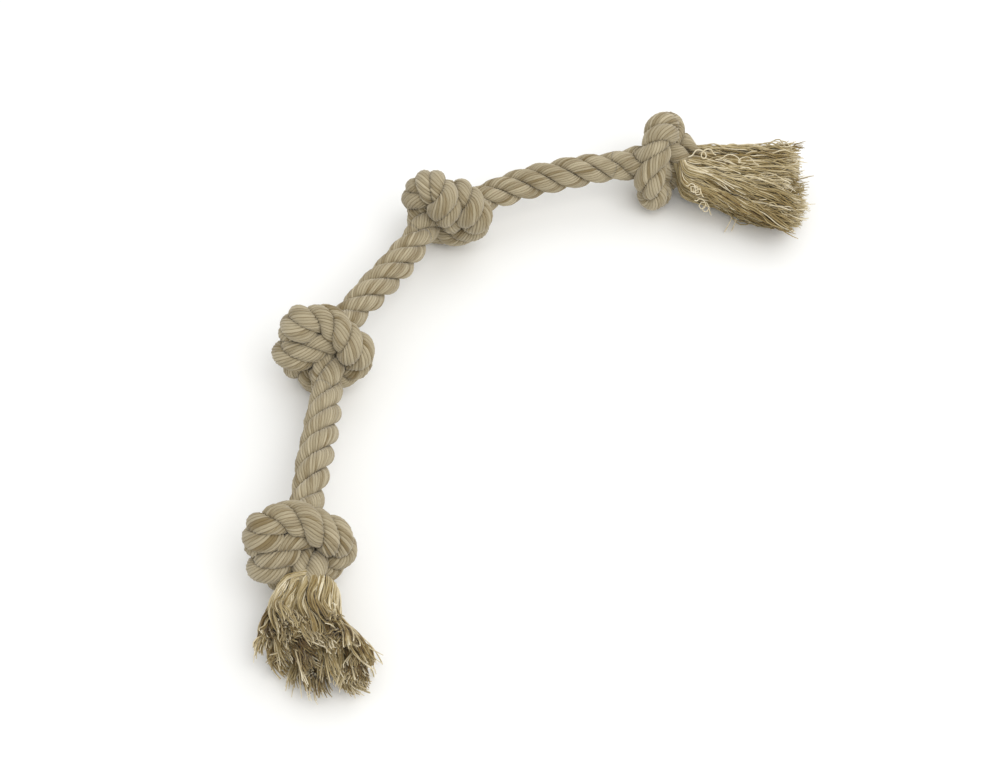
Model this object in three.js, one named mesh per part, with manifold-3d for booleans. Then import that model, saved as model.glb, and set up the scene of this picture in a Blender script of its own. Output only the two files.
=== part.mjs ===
// A rope dog toy: one length of thick cotton rope, three strands laid together right-handed,
// tied in four overhand knots, with both ends unlaid into tassels. It lies at rest on the plane
// z = 0 in a long bend. Millimetres, +Z up, the front tassel towards -Y, the side tassel towards +X.
import * as THREE from 'three';
import { mergeVertices } from 'three/addons/utils/BufferGeometryUtils.js';
import Module from 'manifold-3d';

const wasm = await Module();
wasm.setup();

// Driving dimensions of the rope and its tassels
const ropeDiameter = 22;
const layLength = 50;
const strandDiameter = 10.4;
const frontTasselLength = 46;
const frontTasselHalfWidth = 35;
const sideTasselLength = 64;
const sideTasselHalfWidth = 40;
const tasselHalfHeight = 23;
const touchingGap = 0.3;
const pressGap = 0.5;
const seatDepth = strandDiameter / 10;
const knotRingSpacing = 5.2;
const stretchRingSpacing = 7;
const strandSideCount = 6;
const facetShare = 1.06;

// The four knots, placed by hand: the middle of each on the ground, in rope diameters, the way the
// rope runs through it, how far it turns to the right there, and how far the knot is rolled about
// the rope. The lay is the turn at which the strands enter the knot. Angles in degrees.
const knotShares = [
  { middle: [-6.47, -5.78], heading: 97, turn: 18, roll: 90, lay: 72 },
  { middle: [-6.31, 0.58], heading: 77, turn: 30, roll: 105, lay: 72 },
  { middle: [-3.22, 5.84], heading: 52, turn: 30, roll: 225, lay: 72 },
  { middle: [3.17, 8.11], heading: -3, turn: 24, roll: 350, lay: 48 },
];

// Which way the tassels point, in degrees
const tasselHeadings = { front: -94, side: -15 };

// The rope's own figures, as shares of its diameter: the circle that the strands' middles run on,
// the least distance between two strands' middles in a knot, how far a strand may stray from the
// others, its least bend, the spacing of the beads that stand for it, and the rope in one knot.
// Where the rope lies free its strands sit a little closer.
const layShare = layLength / ropeDiameter;
const helixShare = 0.28;
const freeHelixShare = 0.264;
const contactShare = 0.36;
const strayShare = 0.38;
const bendShare = 0.5;
const beadShare = 0.13;
const linkShare = beadShare * Math.hypot(1, (2 * Math.PI * helixShare) / layShare);
const eatenShare = 9;

// Nearer than this along itself, in its own diameters, a strand doesn't press on itself
const ownShare = 1.3;

// How much thinner the rope is pressed in a finished knot, along the rope and across it
const pressAlongShare = 0.8;
const pressAcrossShare = 0.86;

// How a knot is tightened: the steps in which its ends are drawn apart, the steps in which it then
// settles, the passes over every rule in each step, how often touching beads are looked for, and
// how firmly the knot is pushed together along and across the rope
const pullCount = 1400;
const settleCount = 150;
const passCount = 6;
const searchCount = 12;
const heldCount = 8;
const squeezeShares = [0.02, 0.004];

// The part of each correction that one pass makes
const halfShare = 0.5;
const smoothingShare = 0.06;
const bendingShare = 0.25;
const gatheringShare = 0.3;
const pushingShare = 0.6;
const settlingShare = 0.9;

const strandNames = ['a', 'b', 'c'];
const strandCount = strandNames.length;
const third = (2 * Math.PI) / strandCount;
const radians = THREE.MathUtils.degToRad;
const vector = (x, y, z) => new THREE.Vector3(x, y, z);

// Evenly spaced points along a run of points
function evenly(points, count) {
  const reach = [0];
  for (let i = 1; i < points.length; i += 1) {
    reach.push(reach[i - 1] + points[i].distanceTo(points[i - 1]));
  }
  const total = reach[points.length - 1];
  const spaced = [];
  let k = 0;
  for (let i = 0; i < count; i += 1) {
    const want = (total * i) / (count - 1);
    while (k < points.length - 2 && reach[k + 1] < want) {
      k += 1;
    }
    const share = (want - reach[k]) / (reach[k + 1] - reach[k]);
    spaced.push(points[k].clone().lerp(points[k + 1], share));
  }
  return spaced;
}

function lengthOf(points) {
  let total = 0;
  for (let i = 1; i < points.length; i += 1) {
    total += points[i].distanceTo(points[i - 1]);
  }
  return total;
}

// Directions along a run of points, and two directions square to each that don't spin round it
function framesAlong(points, firstSide) {
  const along = points.map((point, i) => {
    const before = points[Math.max(i - 1, 0)];
    const after = points[Math.min(i + 1, points.length - 1)];
    return after.clone().sub(before).normalize();
  });
  const side = [firstSide.clone().addScaledVector(along[0], -firstSide.dot(along[0])).normalize()];
  for (let i = 1; i < points.length; i += 1) {
    const turned = side[i - 1].clone().addScaledVector(along[i], -side[i - 1].dot(along[i]));
    side.push(turned.normalize());
  }
  const other = side.map((direction, i) => along[i].clone().cross(direction));
  return { along, side, other };
}

// A loose overhand knot in the rope's middle line, in rope diameters. The curve
// (t^5 - 10t, t^3 - 3t, t^4 - 4t^2) is knotted once; its two ends are led out along X.
function looseKnot() {
  const widthShares = [0.17, 0.85, 0.62];
  const liftShare = 1.4;
  const leadOutShare = 2;
  const straightShare = 1.5;
  const points = [];
  const curveSteps = 400;
  for (let i = 0; i <= curveSteps; i += 1) {
    const t = -2 + (4 * i) / curveSteps;
    points.push(vector(
      (t ** 5 - 10 * t) * widthShares[0],
      (t ** 3 - 3 * t) * widthShares[1],
      (t ** 4 - 4 * t ** 2 + liftShare) * widthShares[2],
    ));
  }
  const first = points[0].x - leadOutShare;
  const last = points[curveSteps].x + leadOutShare;
  let line = [
    vector(first - straightShare, 0, 0), vector(first, 0, 0),
    ...points,
    vector(last, 0, 0), vector(last + straightShare, 0, 0),
  ];
  line = evenly(line, curveSteps);
  const smoothings = 60;
  for (let round = 0; round < smoothings; round += 1) {
    const before = line.map((point) => point.clone());
    for (let i = 1; i < line.length - 1; i += 1) {
      line[i].lerp(before[i - 1].clone().add(before[i + 1]).multiplyScalar(halfShare), halfShare);
    }
  }
  return evenly(line, Math.round(lengthOf(line) / beadShare) + 1);
}

// The knot pulled tight, in rope diameters. Each strand is a row of beads. The two ends of the
// rope are drawn apart and turned away from a straight line, while the strands keep their length,
// their distance from each other, the rope's own length and a least bend. Part of the way through,
// the knot is also pushed together from its ends and sides.
function tightKnot({ turn, roll, lay }) {
  const middleLine = looseKnot();
  const count = middleLine.length;
  const { side, other } = framesAlong(middleLine, vector(0, -1, 0));
  const beads = new Float64Array(strandCount * count * 3);
  for (let strand = 0; strand < strandCount; strand += 1) {
    for (let i = 0; i < count; i += 1) {
      const angle = (2 * Math.PI * i * beadShare) / layShare + radians(lay) + strand * third;
      const point = middleLine[i].clone()
        .addScaledVector(side[i], helixShare * Math.cos(angle))
        .addScaledVector(other[i], helixShare * Math.sin(angle));
      point.toArray(beads, (strand * count + i) * 3);
    }
  }

  const steps = pullCount + 2 * settleCount;
  const squeezeStart = 0.4 * pullCount;
  const squeezeReach = 2;
  const squeezeFade = 0.5;
  const nextShare = 1.6;
  const searchShare = 0.15;
  const roundings = 1e7;
  const span = middleLine[count - 1].x - middleLine[0].x;
  const pull = ((count - 1) * beadShare - eatenShare - span) / 2 / pullCount;
  const start = beads.slice();
  const total = strandCount * count;
  const nextOnStrand = Math.ceil((nextShare * contactShare) / linkShare);
  const middles = new Float64Array(count * 3);
  const shift = new Float64Array(beads.length);
  const sizeOf = (x, y, z) => Math.sqrt(x * x + y * y + z * z);
  const apart = (i, j) => sizeOf(
    beads[j * 3] - beads[i * 3],
    beads[j * 3 + 1] - beads[i * 3 + 1],
    beads[j * 3 + 2] - beads[i * 3 + 2],
  );

  // Pairs of beads that may touch soon
  function nearPairs() {
    const reach = contactShare + searchShare;
    const pairs = [];
    for (let i = 0; i < total; i += 1) {
      for (let j = i + 1; j < total; j += 1) {
        const near = Math.abs(beads[j * 3] - beads[i * 3]) <= reach && apart(i, j) < reach;
        const sameStrand = Math.floor(i / count) === Math.floor(j / count);
        if (near && !(sameStrand && j - i < nextOnStrand)) {
          pairs.push(i, j);
        }
      }
    }
    return pairs;
  }

  function keepApart(pairs, share) {
    shift.fill(0);
    for (let p = 0; p < pairs.length; p += 2) {
      const i = pairs[p];
      const j = pairs[p + 1];
      const distance = apart(i, j);
      const push = (halfShare * share * Math.max(contactShare - distance, 0)) / distance;
      for (let axis = 0; axis < 3; axis += 1) {
        const step = push * (beads[j * 3 + axis] - beads[i * 3 + axis]);
        shift[j * 3 + axis] += step;
        shift[i * 3 + axis] -= step;
      }
    }
    for (let n = 0; n < beads.length; n += 1) {
      beads[n] += shift[n];
    }
  }

  function findMiddles() {
    for (let n = 0; n < count * 3; n += 1) {
      middles[n] = (beads[n] + beads[count * 3 + n] + beads[2 * count * 3 + n]) / strandCount;
    }
  }

  function keepTogether() {
    findMiddles();
    for (let i = 0; i < total; i += 1) {
      const m = (i % count) * 3;
      const x = beads[i * 3] - middles[m];
      const y = beads[i * 3 + 1] - middles[m + 1];
      const z = beads[i * 3 + 2] - middles[m + 2];
      const distance = sizeOf(x, y, z);
      const back = (gatheringShare * Math.max(distance - strayShare, 0)) / distance;
      beads[i * 3] -= back * x;
      beads[i * 3 + 1] -= back * y;
      beads[i * 3 + 2] -= back * z;
    }
  }

  // The rope's own length: the middles of the three strands never part by more than a bead
  function keepRopeLength(first) {
    findMiddles();
    for (let i = first; i < count - 1; i += 2) {
      const x = middles[i * 3 + 3] - middles[i * 3];
      const y = middles[i * 3 + 4] - middles[i * 3 + 1];
      const z = middles[i * 3 + 5] - middles[i * 3 + 2];
      const back = halfShare * Math.max(1 - beadShare / sizeOf(x, y, z), 0);
      for (let strand = 0; strand < strandCount; strand += 1) {
        const n = (strand * count + i) * 3;
        beads[n] += back * x;
        beads[n + 1] += back * y;
        beads[n + 2] += back * z;
        beads[n + 3] -= back * x;
        beads[n + 4] -= back * y;
        beads[n + 5] -= back * z;
      }
    }
  }

  function keepStrandLength(first) {
    for (let strand = 0; strand < strandCount; strand += 1) {
      for (let i = first; i < count - 1; i += 2) {
        const n = strand * count + i;
        const share = halfShare * (1 - linkShare / apart(n, n + 1));
        for (let axis = 0; axis < 3; axis += 1) {
          const step = share * (beads[n * 3 + 3 + axis] - beads[n * 3 + axis]);
          beads[n * 3 + axis] += step;
          beads[n * 3 + 3 + axis] -= step;
        }
      }
    }
  }

  function keepBends() {
    const over = 4;
    shift.fill(0);
    for (let strand = 0; strand < strandCount; strand += 1) {
      for (let i = 0; i < count - over; i += 1) {
        const n = strand * count + i;
        const share = bendingShare * Math.max(bendShare / apart(n, n + over) - 1, 0);
        for (let axis = 0; axis < 3; axis += 1) {
          const step = share * (beads[(n + over) * 3 + axis] - beads[n * 3 + axis]);
          shift[(n + over) * 3 + axis] += step;
          shift[n * 3 + axis] -= step;
        }
      }
    }
    for (let n = 0; n < beads.length; n += 1) {
      beads[n] += shift[n];
    }
  }

  function holdEnds(drawn, turned) {
    const bend = [-Math.cos(radians(roll)), Math.sin(radians(roll))];
    for (let i = 0; i < total; i += 1) {
      const along = i % count;
      if (along < heldCount || along >= count - heldCount) {
        const sign = along < heldCount ? -1 : 1;
        const ahead = start[i * 3] + sign * drawn;
        const aside = start[i * 3 + 1] * bend[0] + start[i * 3 + 2] * bend[1];
        const cosine = Math.cos(turned);
        const sine = Math.sin(turned) * sign;
        const moved = ahead * sine + aside * cosine - aside;
        beads[i * 3] = ahead + (ahead * cosine - aside * sine - ahead);
        beads[i * 3 + 1] = start[i * 3 + 1] + moved * bend[0];
        beads[i * 3 + 2] = start[i * 3 + 2] + moved * bend[1];
      }
    }
  }

  function smoothBends() {
    const before = beads.slice();
    for (let strand = 0; strand < strandCount; strand += 1) {
      for (let n = (strand * count + 1) * 3; n < (strand * count + count - 1) * 3; n += 1) {
        beads[n] += smoothingShare * (halfShare * (before[n - 3] + before[n + 3]) - before[n]);
      }
    }
  }

  function squeezeKnot() {
    for (let i = 0; i < total; i += 1) {
      const inside = Math.min(Math.max((squeezeReach - Math.abs(beads[i * 3])) / squeezeFade, 0), 1);
      beads[i * 3] -= inside * squeezeShares[0] * beads[i * 3];
      beads[i * 3 + 1] -= inside * squeezeShares[1] * beads[i * 3 + 1];
      beads[i * 3 + 2] -= inside * squeezeShares[1] * beads[i * 3 + 2];
    }
  }

  let pairs = [];
  let drawn = 0;
  for (let step = 0; step < steps; step += 1) {
    const settling = step >= steps - settleCount;
    if (step % searchCount === 0) {
      pairs = nearPairs();
    }
    if (step < pullCount) {
      drawn += pull;
    }
    if (!settling) {
      smoothBends();
    }
    if (!settling && step > squeezeStart) {
      squeezeKnot();
    }
    const turned = (radians(turn) / 2) * Math.min(step / pullCount, 1);
    for (let pass = 0; pass < passCount; pass += 1) {
      keepRopeLength(0);
      keepRopeLength(1);
      keepBends();
      keepStrandLength(0);
      keepStrandLength(1);
      keepTogether();
      keepApart(pairs, settling ? settlingShare : pushingShare);
      holdEnds(drawn, turned);
    }
    for (let n = 0; n < beads.length; n += 1) {
      beads[n] = Math.round(beads[n] * roundings) / roundings;
    }
  }
  return strandNames.map((name, strand) => {
    const row = [];
    for (let i = 0; i < count; i += 1) {
      row.push(vector(0, 0, 0).fromArray(beads, (strand * count + i) * 3));
    }
    return row;
  });
}

// The beads of a finished knot from where the rope first touches itself to where it last does,
// with a short lead at each end
function knottedRange(rows) {
  const touchShare = 0.62;
  const nextOnRope = 12;
  const leadBeads = 3;
  const count = rows[0].length;
  const touching = [];
  for (let i = 0; i < count; i += 1) {
    const touches = rows.some((one) => rows.some((two) => two.some((point, j) => (
      Math.abs(i - j) >= nextOnRope && one[i].distanceTo(point) < touchShare
    ))));
    if (touches) {
      touching.push(i);
    }
  }
  return [touching[0] - leadBeads, touching[touching.length - 1] + leadBeads];
}

// Knots that are tied alike are the same knot, so it is worked out once
const tightened = new Map();
function tightRows(knot) {
  const key = [knot.turn, knot.roll, knot.lay].join();
  if (!tightened.has(key)) {
    tightened.set(key, tightKnot(knot));
  }
  return tightened.get(key).map((row) => row.map((point) => point.clone()));
}

// A knot turned to its heading and roll, in millimetres about its own middle
function turnedKnot(knot) {
  const rows = tightRows(knot);
  const [first, last] = knottedRange(rows);
  const kept = rows.map((row) => row.slice(first, last + 1));
  const centre = new THREE.Box3().setFromPoints(kept.flat()).getCenter(vector(0, 0, 0));
  const heading = radians(knot.heading);
  const roll = radians(knot.roll);
  const ahead = vector(Math.cos(heading), Math.sin(heading), 0);
  const left = vector(-Math.sin(heading), Math.cos(heading), 0);
  const sideways = left.multiplyScalar(Math.cos(roll)).add(vector(0, 0, Math.sin(roll)));
  const turn = new THREE.Matrix4().makeBasis(ahead, sideways, ahead.clone().cross(sideways));
  const press = vector(pressAlongShare, pressAcrossShare, pressAcrossShare);
  press.multiplyScalar(ropeDiameter);
  kept.forEach((row) => row.forEach((point) => {
    point.sub(centre).multiply(press).applyMatrix4(turn);
  }));
  return kept;
}

function middleOf(points) {
  return points.reduce((sum, point) => sum.add(point), vector(0, 0, 0)).divideScalar(points.length);
}

// Where the rope leaves a knot: the middle of its strands, the way out, and the strands' places
function mouthOf(strands, atEnd) {
  const reach = 4;
  const place = (strand, n) => strand[atEnd ? strand.length - 1 - n : n];
  const points = strands.map((strand) => place(strand, 0));
  const middle = middleOf(points);
  const before = middleOf(strands.map((strand) => place(strand, reach)));
  const out = middle.clone().sub(before).normalize();
  return { middle, out, points };
}

// The turn, reach and rise of a strand's place about the rope's middle line
function placeAbout(point, middle, along, side, other) {
  const offset = point.clone().sub(middle);
  const flat = [offset.dot(side), offset.dot(other)];
  return { angle: Math.atan2(flat[1], flat[0]), reach: Math.hypot(...flat), rise: offset.dot(along) };
}

// The smallest turn that is the same as this one
function unwound(angle) {
  return angle - 2 * Math.PI * Math.round(angle / (2 * Math.PI));
}

// The free rope between two knots: a smooth middle line from mouth to mouth, with the three strands
// laid round it. The lay opens or closes a little so that each strand meets one of the next knot.
function laidStretch(from, to) {
  const handleShare = 0.29;
  const handle = handleShare * from.middle.distanceTo(to.middle);
  const curve = new THREE.CubicBezierCurve3(
    from.middle,
    from.middle.clone().addScaledVector(from.out, handle),
    to.middle.clone().addScaledVector(to.out, handle),
    to.middle,
  );
  const length = curve.getLength();
  const steps = Math.round(length / (beadShare * ropeDiameter));
  const middleLine = curve.getSpacedPoints(steps);
  const { along, side, other } = framesAlong(middleLine, vector(0, 0, 1));
  const at = (points, i) => points.map((point) => (
    placeAbout(point, middleLine[i], along[i], side[i], other[i])
  ));
  const starts = at(from.points, 0);
  const ends = at(to.points, steps);
  const naturalTurn = (2 * Math.PI * length) / layLength;
  const thirds = Math.round((starts[0].angle + naturalTurn - ends[0].angle) / third);
  const helixRadius = freeHelixShare * ropeDiameter;
  const strands = starts.map((start, strand) => {
    const end = ends[(((strand + thirds) % strandCount) + strandCount) % strandCount];
    const plain = ends[0].angle + thirds * third - starts[0].angle;
    const turned = plain + unwound(end.angle - start.angle - plain);
    return middleLine.map((middle, i) => {
      const gone = (i * length) / steps;
      const fromStart = 1 - THREE.MathUtils.smoothstep(gone, 0, ropeDiameter);
      const fromEnd = 1 - THREE.MathUtils.smoothstep(length - gone, 0, ropeDiameter);
      const angle = start.angle + (turned * i) / steps;
      const reach = helixRadius + fromStart * (start.reach - helixRadius)
        + fromEnd * (end.reach - helixRadius);
      return middle.clone()
        .addScaledVector(along[i], fromStart * start.rise + fromEnd * end.rise)
        .addScaledVector(side[i], reach * Math.cos(angle))
        .addScaledVector(other[i], reach * Math.sin(angle));
    });
  });
  return { strands, thirds };
}

// Each strand is round where it lies free. Where two press together, each is flattened to its own
// side of the plane halfway between their middles. Every ring has one reach for each of its spokes.
// Returns the least distance between the middles of two strands.
function pressStrands(runs) {
  const full = (strandDiameter / 2) * facetShare;
  const reach = 2 * full + pressGap;
  const ownReach = ownShare * strandDiameter;
  const narrowing = 0.6;
  const stepsPerRing = 3;
  const stations = [];
  runs.forEach((run) => {
    run.reaches = run.rings.map(() => new Array(strandSideCount).fill(full));
    run.spokes = spokesOf(run);
    for (let n = 0; n <= (run.rings.length - 1) * stepsPerRing; n += 1) {
      const i = Math.min(Math.floor(n / stepsPerRing), run.rings.length - 2);
      const share = n / stepsPerRing - i;
      const place = run.rings[i].clone().lerp(run.rings[i + 1], share);
      stations.push({ run, i, share, place, gone: run.gone + (i + share) * run.spacing });
    }
  });
  let least = Infinity;
  const away = vector(0, 0, 0);
  stations.forEach((one) => stations.forEach((two) => {
    const sameStrand = one.run.strand === two.run.strand;
    if (sameStrand && Math.abs(one.gone - two.gone) < ownReach) {
      return;
    }
    const distance = away.copy(two.place).sub(one.place).length();
    least = Math.min(least, distance);
    if (distance > reach) {
      return;
    }
    [one.i, one.i + 1].forEach((r) => one.run.spokes[r].forEach((spoke, k) => {
      const facing = spoke.dot(away) / distance;
      if (facing > 0) {
        const limit = (distance - pressGap) / 2 / facing;
        one.run.reaches[r][k] = Math.min(one.run.reaches[r][k], limit);
      }
    }));
  }));
  runs.forEach(({ rings, reaches }) => {
    const ease = (r, next) => {
      const step = narrowing * rings[r].distanceTo(rings[next]);
      reaches[r].forEach((value, k) => {
        reaches[r][k] = Math.min(value, reaches[next][k] + step);
      });
    };
    for (let r = 1; r < rings.length; r += 1) {
      ease(r, r - 1);
    }
    for (let r = rings.length - 2; r >= 0; r -= 1) {
      ease(r, r + 1);
    }
  });
  return least;
}

// The directions in which a ring's corners lie; the end rings are square to the given directions
function spokesOf({ rings, startAlong, endAlong }) {
  const aslant = vector(0.3, 0.2, 1);
  const { along, side } = framesAlong(rings, aslant);
  along[0] = startAlong;
  along[rings.length - 1] = endAlong;
  return rings.map((point, r) => {
    const one = side[r].clone().addScaledVector(along[r], -side[r].dot(along[r])).normalize();
    const two = along[r].clone().cross(one);
    return Array.from({ length: strandSideCount }, (unused, k) => {
      const angle = (2 * Math.PI * k) / strandSideCount;
      return one.clone().multiplyScalar(Math.cos(angle)).addScaledVector(two, Math.sin(angle));
    });
  });
}

// A closed body from rings of points, each ring joined to the next and both ends closed
function closedRings(rings, startPoint, endPoint) {
  const sides = rings[0].length;
  const positions = [...rings.flat(), startPoint, endPoint].flatMap((point) => point.toArray());
  const startIndex = rings.length * sides;
  const index = [];
  for (let i = 0; i < sides; i += 1) {
    const next = (i + 1) % sides;
    for (let r = 0; r < rings.length - 1; r += 1) {
      const here = r * sides;
      const there = here + sides;
      index.push(here + i, here + next, there + next, here + i, there + next, there + i);
    }
    const last = (rings.length - 1) * sides;
    index.push(startIndex, next, i, startIndex + 1, last + i, last + next);
  }
  const geometry = new THREE.BufferGeometry();
  geometry.setAttribute('position', new THREE.Float32BufferAttribute(positions, 3));
  geometry.setIndex(index);
  return facingOut(geometry);
}

function facingOut(geometry) {
  const position = geometry.getAttribute('position');
  const index = geometry.getIndex();
  const corner = (n) => vector(0, 0, 0).fromBufferAttribute(position, index.getX(n));
  let volume = 0;
  for (let n = 0; n < index.count; n += 3) {
    volume += corner(n).dot(corner(n + 1).cross(corner(n + 2)));
  }
  for (let n = 0; volume < 0 && n < index.count; n += 3) {
    const second = index.getX(n + 1);
    index.setX(n + 1, index.getX(n + 2));
    index.setX(n + 2, second);
  }
  return geometry;
}

function strandTube({ rings, spokes, reaches }) {
  const outlines = rings.map((point, r) => spokes[r].map((spoke, k) => (
    point.clone().addScaledVector(spoke, reaches[r][k])
  )));
  return closedRings(outlines, rings[0], rings[rings.length - 1]);
}

function toSolid(geometry) {
  const bare = new THREE.BufferGeometry();
  bare.setAttribute('position', geometry.getAttribute('position').clone());
  bare.setIndex(geometry.getIndex());
  const merged = mergeVertices(bare);
  return new wasm.Manifold(new wasm.Mesh({
    numProp: 3,
    vertProperties: new Float32Array(merged.getAttribute('position').array),
    triVerts: new Uint32Array(merged.getIndex().array),
  }));
}

function fromSolid(solid) {
  const mesh = solid.getMesh();
  const geometry = new THREE.BufferGeometry();
  geometry.setAttribute('position', new THREE.BufferAttribute(mesh.vertProperties, 3));
  geometry.setIndex(new THREE.BufferAttribute(mesh.triVerts, 1));
  return geometry;
}

// The strands that the toy lies on are flat where they touch the ground
const groundReach = 40 * ropeDiameter;
const ground = toSolid(new THREE.BoxGeometry(groundReach, groundReach, ropeDiameter)
  .translate(0, 0, -ropeDiameter / 2));

function seated(geometry) {
  geometry.computeBoundingBox();
  return geometry.boundingBox.min.z < 0 ? fromSolid(toSolid(geometry).subtract(ground)) : geometry;
}

// One strand's third of a tassel: it leaves the knot round, loses its twist and spreads into locks
// of yarn with uneven ends. Its outline is a wedge of an oval with a lobe for each lock.
function tasselThird(tassel, strand) {
  const { middleLine, along, side, other, gone, across, mouth } = tassel;
  const locks = 5;
  const pointsPerLock = 3;
  const lobeShare = 0.09;
  const firstLobeShare = 0.4;
  const wedgeMiddleShare = 0.55;
  const spreadPower = 0.6;
  const arcPoints = locks * pointsPerLock;
  const untwistLength = 1.2 * ropeDiameter;
  const openingLength = ropeDiameter / 2;
  const raggedLength = strandDiameter / 3;
  const raggedTurn = 2.4;
  const apart = (1.2 * touchingGap) / (2 * Math.sin(third / 2));
  const turnPerLength = (2 * Math.PI) / layLength;
  const last = middleLine.length - 1;
  const starts = mouth.points.map((point) => (
    placeAbout(point, middleLine[0], along[0], side[0], other[0])
  ));
  const stepAngle = unwound(starts[1].angle - starts[0].angle) < 0 ? -third : third;
  const evenAngle = starts[0].angle + starts.reduce((sum, { angle }, i) => (
    sum + unwound(angle - starts[0].angle - i * stepAngle) / strandCount
  ), 0);
  const start = starts[strand];
  const offAngle = unwound(start.angle - evenAngle - strand * stepAngle);
  const rings = middleLine.map((centre, r) => {
    const share = r / last;
    const left = Math.exp(-gone[r] / untwistLength);
    const turned = turnPerLength * untwistLength * (1 - left);
    const middleAngle = evenAngle + strand * stepAngle + turned;
    const direction = (angle) => side[r].clone().multiplyScalar(Math.cos(angle))
      .addScaledVector(other[r], Math.sin(angle));
    const spread = share ** spreadPower;
    const halfWidth = THREE.MathUtils.lerp(ropeDiameter / 2, tassel.halfWidth, spread);
    const halfHeight = THREE.MathUtils.lerp(ropeDiameter / 2, tasselHalfHeight, spread);
    const onOval = (angle, reach) => {
      const point = direction(angle);
      const flat = point.dot(across);
      return point.addScaledVector(across, -flat).multiplyScalar(halfHeight * reach)
        .addScaledVector(across, flat * halfWidth * reach);
    };
    const lobeReach = lobeShare * THREE.MathUtils.lerp(firstLobeShare, 1, share);
    const outline = [[0, 0], [-third / 2, halfShare]];
    for (let i = 0; i <= arcPoints; i += 1) {
      const lobe = lobeReach * Math.cos((2 * Math.PI * locks * i) / arcPoints);
      outline.push([(i / arcPoints - halfShare) * third, 1 - lobeShare - lobe]);
    }
    outline.push([third / 2, halfShare]);

    const radial = direction(middleAngle);
    const around = direction(middleAngle + Math.PI / 2);
    const round = centre.clone().addScaledVector(direction(middleAngle + offAngle), start.reach)
      .addScaledVector(along[r], start.rise);
    const open = THREE.MathUtils.smoothstep(gone[r], 0, openingLength);
    const lean = 1 - open;
    const forward = tassel.startAlong[strand].clone().multiplyScalar(lean)
      .addScaledVector(along[r], open).normalize();
    const outer = radial.clone().addScaledVector(forward, -radial.dot(forward)).normalize();
    const beside = forward.clone().cross(outer);
    const handed = Math.sign(beside.dot(around));
    return outline.map(([angle, reach], i) => {
      const wide = onOval(middleAngle + angle, reach).add(centre).addScaledVector(radial, apart);
      const turn = i === 0 ? Math.PI : Math.atan2(
        Math.sin(angle) * reach,
        Math.cos(angle) * reach - wedgeMiddleShare,
      );
      const point = round.clone()
        .addScaledVector(outer, tassel.startRadius * Math.cos(turn))
        .addScaledVector(beside, handed * tassel.startRadius * Math.sin(turn))
        .lerp(wide, open);
      const onEdge = i <= 2 || i >= outline.length - 2;
      if (r === last && !onEdge) {
        point.addScaledVector(along[r], raggedLength * Math.sin(raggedTurn * i + strand));
      }
      point.z = Math.max(point.z, 0);
      return point;
    });
  });
  return closedRings(rings, middleOf(rings[0]), middleOf(rings[last]));
}

// A tassel from a mouth of the rope: a middle line that sinks to the ground, and three thirds
function laidTassel(tassel, startAlong, startRadius) {
  const { mouth } = tassel;
  const heading = radians(tassel.heading);
  const out = vector(Math.cos(heading), Math.sin(heading), 0);
  const start = mouth.middle.clone().addScaledVector(mouth.out, touchingGap);
  const finish = start.clone().addScaledVector(out, tassel.length);
  const sunkShare = 0.86;
  finish.z = tasselHalfHeight * sunkShare;
  const curve = new THREE.CubicBezierCurve3(
    start,
    start.clone().addScaledVector(mouth.out, tassel.length / 3),
    finish.clone().addScaledVector(out, -tassel.length / 3),
    finish,
  );
  const ringCount = 12;
  const even = curve.getSpacedPoints(ringCount);
  const middleLine = [even[0], even[0].clone().lerp(even[1], halfShare), ...even.slice(1)];
  const { along, side, other } = framesAlong(middleLine, vector(0, 0, 1));
  const gone = [0];
  for (let i = 1; i < middleLine.length; i += 1) {
    gone.push(gone[i - 1] + middleLine[i].distanceTo(middleLine[i - 1]));
  }
  const across = vector(0, 0, 1).cross(out).normalize();
  const laid = {
    ...tassel, middleLine, along, side, other, gone, across, startAlong, startRadius,
  };
  return strandNames.map((name, strand) => tasselThird(laid, strand));
}

// Evenly spaced rings along one strand of a section
function addRun(strand, points, spacing, gone) {
  const curve = new THREE.CatmullRomCurve3(points, false, 'centripetal');
  curve.arcLengthDivisions = 8 * points.length;
  const length = curve.getLength();
  const count = Math.round(length / spacing);
  const rings = curve.getSpacedPoints(count);
  const startAlong = curve.getTangentAt(0);
  const endAlong = curve.getTangentAt(1);
  return { strand, rings, spacing: length / count, gone, length, startAlong, endAlong };
}

// The knots, each set down so that its lowest strand presses a little into the ground
const knotted = knotShares.map((knot) => {
  const strands = turnedKnot(knot);
  const runs = strands.map((points, strand) => addRun(strand, points, knotRingSpacing, 0));
  pressStrands(runs);
  const box = new THREE.Box3();
  runs.forEach((run) => box.union(new THREE.Box3().setFromBufferAttribute(
    strandTube(run).getAttribute('position'),
  )));
  const [x, y] = knot.middle.map((share) => share * ropeDiameter);
  const place = vector(x, y, -seatDepth - box.min.z);
  strands.flat().forEach((point) => point.add(place));
  return strands;
});
const mouths = knotted.map((strands) => [mouthOf(strands, false), mouthOf(strands, true)]);
const stretches = knotted.slice(1).map((strands, i) => laidStretch(mouths[i][1], mouths[i + 1][0]));

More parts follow.
